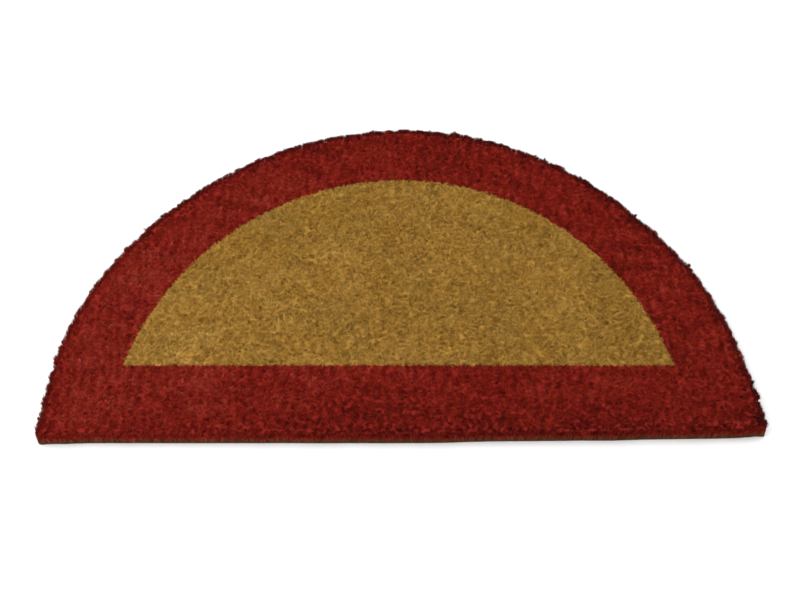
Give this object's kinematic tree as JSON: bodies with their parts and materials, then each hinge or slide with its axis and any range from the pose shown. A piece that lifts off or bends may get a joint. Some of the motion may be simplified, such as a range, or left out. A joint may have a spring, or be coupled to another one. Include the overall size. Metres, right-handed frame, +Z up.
{
  "type": "doormat",
  "caption": "Half-moon coir doormat with a dyed border and a natural centre, laid flat at a doorway to wipe shoes on.",
  "frame": {"origin": "middle of the underside's box, on the floor", "axes": "+X along the straight front edge, to the right as seen from the front; +Y from the front edge to the crown of the arch; +Z up through the pile"},
  "size_m": [0.6994, 0.4044, 0.015],
  "materials": {
    "dyed_coir": "matt coir pile, dyed deep red, paler at the tips",
    "natural_coir": "matt coir pile, undyed golden brown",
    "backing": "matt, plain, under the pile"
  },
  "bodies": {
    "root": {"doormat": "dyed_coir"}
  },
  "joints": []
}
